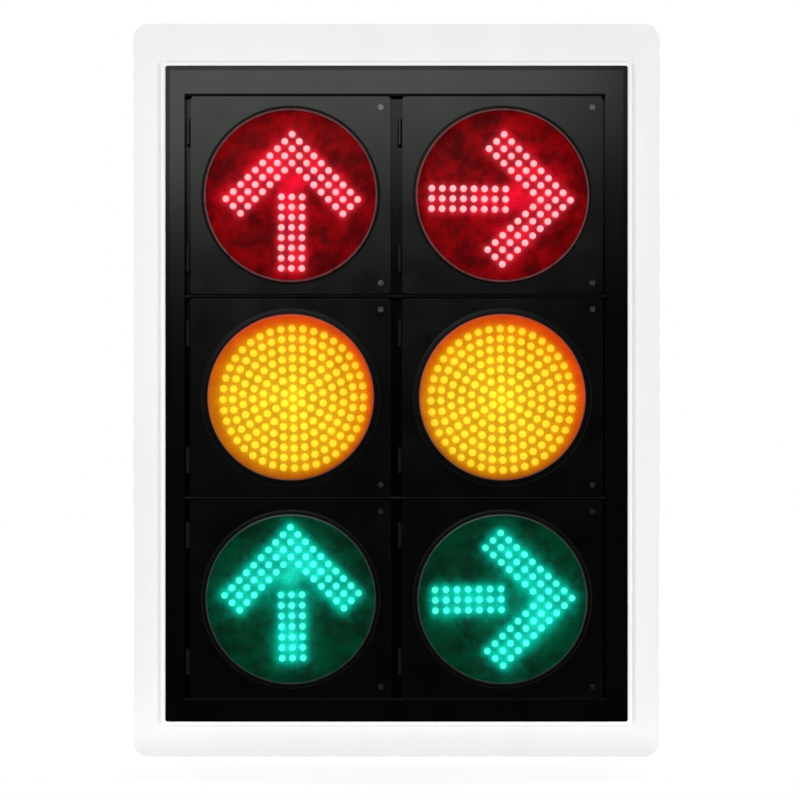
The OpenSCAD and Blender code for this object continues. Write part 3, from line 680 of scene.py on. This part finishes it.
lipLook = {  # the rubber lip between a lens and its door
    "clear": 0.0006, "crown": [(0.0, 0.0028), (0.0008, 0.0034)],  # from the lens outwards
    "outer": [(0.1532, 0.0033), (0.1548, 0.0027), (0.1555, 0.0019)], "foot": (0.1500, 0.0004), "sides": 144,
}


def lensLip(key, colour, place):
    inner = lensLook["radius"][colour] + lipLook["clear"]
    profile = [(inner + out, height) for out, height in lipLook["crown"]] + lipLook["outer"]
    footRadius, footHeight = lipLook["foot"]
    if inner < footRadius:  # it reaches into the opening beside the lens
        profile += [(footRadius, profile[-1][1]), (footRadius, footHeight), (inner, footHeight)]
    else:
        profile += [(inner, profile[-1][1])]
    bm = bmesh.new()
    turned(bm, profile + profile[:1], lipLook["sides"])
    piece, _ = meshPiece("lens_lip_" + key, bm, place, [materials["seal_rubber"]])
    smooth(piece)
    return piece


for colour in layout["colours"]:
    materials["lens_" + colour] = lensMaterial(colour)
    materials["lens_rim_" + colour] = rimMaterial(colour)
    materials["board_" + colour] = boardMaterial(colour)
    materials["led_" + colour] = ledMaterial(colour)

oneLed, oneBoard = ledMesh(), boardMesh()  # copied into every lamp
draw = random.Random(ledLook["seed"])
for row, colour in enumerate(layout["colours"]):
    for column, side in enumerate(layout["columns"]):
        key = colour + "_" + side
        place = lampPlace(column, row)
        board = ledBoard(key, colour, column, place)
        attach(board, key + "_door")
        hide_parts("led_board_" + key)
        lens = lampLens(key, colour, column, place)
        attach(lens, key + "_door")
        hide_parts("lens_" + key)
        lip = lensLip(key, colour, place)
        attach(lip, key + "_door")
bpy.data.meshes.remove(oneLed)
bpy.data.meshes.remove(oneBoard)
print("lamps made")


# a rounded bead on the white edge trim

beadLook = {
    "inner": (0.8024, 1.1384), "wide": 0.0088, "corner": 0.0128, "cornerSteps": 10,
    "base": -0.0106,  # the trim's face, behind the front strip
    "steps": [(0.0006, 0.0030), (0.0008, 0.0022), (0.0014, 0.0012), (0.0060, 0.0007)],  # inset and rise
}


def trimBead():
    bm = bmesh.new()
    wide, high = (size + 2 * beadLook["wide"] for size in beadLook["inner"])
    corners = bmesh.ops.create_grid(bm, x_segments=1, y_segments=1, size=0.5)["verts"]
    bmesh.ops.scale(bm, vec=(wide, high, 1), verts=corners)
    bmesh.ops.bevel(bm, geom=corners, offset=beadLook["corner"], segments=beadLook["cornerSteps"],
                    profile=0.5, affect="VERTICES", material=-1)
    face = bm.faces[:]
    for inset, rise in beadLook["steps"]:
        bmesh.ops.inset_region(bm, faces=face, thickness=inset, depth=rise, use_boundary=True,
                               use_even_offset=True)
    inner = list(dict.fromkeys(e for f in face for e in f.edges))
    bmesh.ops.delete(bm, geom=face, context="FACES_ONLY")
    wall = bmesh.ops.extrude_edge_only(bm, edges=inner)["geom"]  # down beside the cabinet, then closed below
    bmesh.ops.scale(bm, vec=(1, 1, 0), verts=[v for v in wall if isinstance(v, bmesh.types.BMVert)])
    bmesh.ops.bridge_loops(bm, edges=[e for e in bm.edges if e.is_boundary])
    bmesh.ops.recalc_face_normals(bm, faces=bm.faces)
    place = Matrix.Translation((0, layout["frontPlane"] - beadLook["base"], 0)) @ facing
    piece, _ = meshPiece("trim_bead", bm, place, [materials["white_trim"]])
    smooth(piece)
    return piece


bead = trimBead()
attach(bead, "cabinet")
print("trim bead made")


# round weather bars in the gaps above, below and between the doors

barLook = {
    "reach": (-0.3678, 0.3619),  # between the side walls of the door recess
    "between": {"at": (0.169, -0.181), "radius": 0.0029},
    "ends": {"at": (0.5182, -0.5302), "radius": 0.0021},
    "behind": 0.0006,  # the front strip
    "finish": "seal_rubber", "sides": 20,
}


def weatherBars(kind):
    look = barLook[kind]
    left, right = barLook["reach"]
    bm = bmesh.new()
    for height in look["at"]:
        centre = ((left + right) / 2, layout["frontPlane"] + barLook["behind"] + look["radius"], height)
        bmesh.ops.create_cone(bm, cap_ends=True, segments=barLook["sides"], radius1=look["radius"],
                              radius2=look["radius"], depth=right - left,
                              matrix=Matrix.Translation(centre) @ Matrix.Rotation(math.pi / 2, 4, "Y"))
    piece, _ = meshPiece("weather_bars_" + kind, bm, Matrix.Identity(4), [materials[barLook["finish"]]])
    smooth(piece)
    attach(piece, "cabinet")


for kind in ("between", "ends"):
    weatherBars(kind)
print("weather bars made")


# the CAD nodes that stay: softened edges and a finish each

softEdges = {  # bevel width for each kind of node, in metres
    "border_board": 0.0008, "border_trim": 0.0004, "border_brackets": 0.0008, "cabinet_shell": 0.0007,
    "face_frame": 0.0007, "hinge_pins": 0.0003, "mounting_bars": 0.0012, "hex_bolts": 0.0004,
    "terminal_rail": 0.0002, "terminal_block": 0.0005, "cable_gland": 0.0006, "door_seals": 0.0008,
    "door": 0.0012, "gasket": 0.0005, "case": 0.0006, "screws": 0.0003, "latch": 0.0004,
}
softLook = {"flatAngle": 0.5, "edgeAngle": 40, "steps": 2}


def soften(node, width):
    weld = node.modifiers.new("weld", "WELD")
    weld.merge_threshold = mergeGap
    flat = node.modifiers.new("flat", "DECIMATE")
    flat.decimate_type = "DISSOLVE"
    flat.angle_limit = math.radians(softLook["flatAngle"])
    edges = node.modifiers.new("edges", "BEVEL")
    edges.width = width
    edges.segments = softLook["steps"]
    edges.limit_method = "ANGLE"
    edges.angle_limit = math.radians(softLook["edgeAngle"])
    edges.profile = 0.5
    even = node.modifiers.new("even", "WEIGHTED_NORMAL")
    even.keep_sharp = True


finishOf = {row["node"]: row["material_slot"] for row in frame["record"]["subparts"]}
# the face frame's paint holds painted shade in its recess
finishOf["face_frame"] = "strip_paint"
for name, node in nodes.items():
    if node.hide_render:  # a piece above stands for it
        continue
    kind = name if name in softEdges else name.split("_")[0]
    soften(node, softEdges[kind])
    node.data.materials.clear()
    node.data.materials.append(materials[finishOf[name]])
print("CAD nodes finished")


# studio

studio = {
    "ambient": 0.32,
    "mirrored": [(0.0, 0.006), (0.06, 0.006), (0.11, 0.32), (0.38, 0.45), (0.68, 1.0)],  # front to back
    "floorGlow": (0.72, 0.86), "floorReach": (0.6, 1.9),  # near and far from the object
    "floorBounce": 0.36,  # light that the floor sends up
    "floorColour": (0.50, 0.50, 0.50), "floorRough": 0.9,
    "floorRadius": 3.1, "floorSides": 96, "floorBack": 2.75,
}
lights = {
    "softbox": {"at": (-0.62, -4.05, 1.70), "size": (3.0, 1.7), "power": 33, "mirrored": True, "roll": 10},
    "leftLight": {"at": (-2.7, -2.9, -0.20), "size": (1.2, 2.0), "power": 67, "mirrored": False, "roll": 0},
    "rightLight": {"at": (2.7, -2.9, -0.20), "size": (1.2, 2.0), "power": 70, "mirrored": False, "roll": 0},
    "backLight": {"at": (0.6, 3.2, 2.2), "size": (2.4, 1.6), "power": 70, "mirrored": True, "roll": 0},
}


def areaLight(name, look):  # aimed at the object's middle
    data = bpy.data.lights.new(name, "AREA")
    data.shape = "RECTANGLE"
    data.size, data.size_y = look["size"]
    data.energy = look["power"]
    light = bpy.data.objects.new(name, data)
    scene.collection.objects.link(light)
    light.location = look["at"]
    turn = Quaternion((0, 0, 1), math.radians(look["roll"]))
    light.rotation_euler = ((-Vector(look["at"])).to_track_quat("-Z", "Y") @ turn).to_euler()
    light.visible_camera = False
    light.visible_glossy = look["mirrored"]


def raysOf(tree):  # 1 for camera rays, and 1 for rays that gloss or glass sends on
    path = tree.nodes.new("ShaderNodeLightPath")
    mirror = math2(tree, "MAXIMUM", path.outputs["Is Glossy Ray"], path.outputs["Is Transmission Ray"])
    return path.outputs["Is Camera Ray"], mirror


def makeWorld():
    world = bpy.data.worlds.new("studioWorld")
    scene.world = world
    world.use_nodes = True
    tree = world.node_tree
    tree.nodes.clear()
    output = tree.nodes.new("ShaderNodeOutputWorld")
    background = tree.nodes.new("ShaderNodeBackground")
    tree.links.new(background.outputs["Background"], output.inputs["Surface"])
    camera, mirror = raysOf(tree)
    coordinates = tree.nodes.new("ShaderNodeTexCoord")
    depth = spread(tree, axesOf(tree, coordinates.outputs["Generated"])["Y"], (0, 1), (-1, 1))
    room = ramp(tree, depth, [(place, (level,) * 3) for place, level in studio["mirrored"]])
    reflected = math2(tree, "MULTIPLY", mirror, room)
    plain = math2(tree, "MULTIPLY", math2(tree, "SUBTRACT", 1.0, mirror), studio["ambient"])
    strength = math2(tree, "MAXIMUM", camera, math2(tree, "ADD", reflected, plain))
    tree.links.new(strength, background.inputs["Strength"])
    background.inputs["Color"].default_value = (1, 1, 1, 1)


def makeFloor():
    material, tree, shader = newMaterial("paleFloor")
    shader.inputs["Base Color"].default_value = (*studio["floorColour"], 1)
    shader.inputs["Roughness"].default_value = studio["floorRough"]
    shader.inputs["Specular IOR Level"].default_value = 0.0
    shader.inputs["Emission Color"].default_value = (1, 1, 1, 1)
    camera, mirror = raysOf(tree)
    away = tree.nodes.new("ShaderNodeVectorMath")  # paler far from the object, so its shadow stays
    away.operation = "LENGTH"
    tree.links.new(objectPoint(tree, (1, 1, 0)), away.inputs["Vector"])
    glow = spread(tree, away.outputs["Value"], studio["floorGlow"], studio["floorReach"])
    seen = math2(tree, "MULTIPLY", camera, glow)
    plain = math2(tree, "SUBTRACT", 1.0, math2(tree, "MAXIMUM", camera, mirror))
    bounce = math2(tree, "MULTIPLY", plain, studio["floorBounce"])
    tree.links.new(math2(tree, "ADD", seen, bounce), shader.inputs["Emission Strength"])
    bm = bmesh.new()
    bmesh.ops.create_circle(bm, cap_ends=True, segments=studio["floorSides"], radius=studio["floorRadius"])
    floor, _ = meshPiece("paleFloor", bm, Matrix.Translation((0, studio["floorBack"], cadLow.z)), [material])


makeWorld()
makeFloor()
for name, look in lights.items():
    areaLight(name, look)
print("studio made")
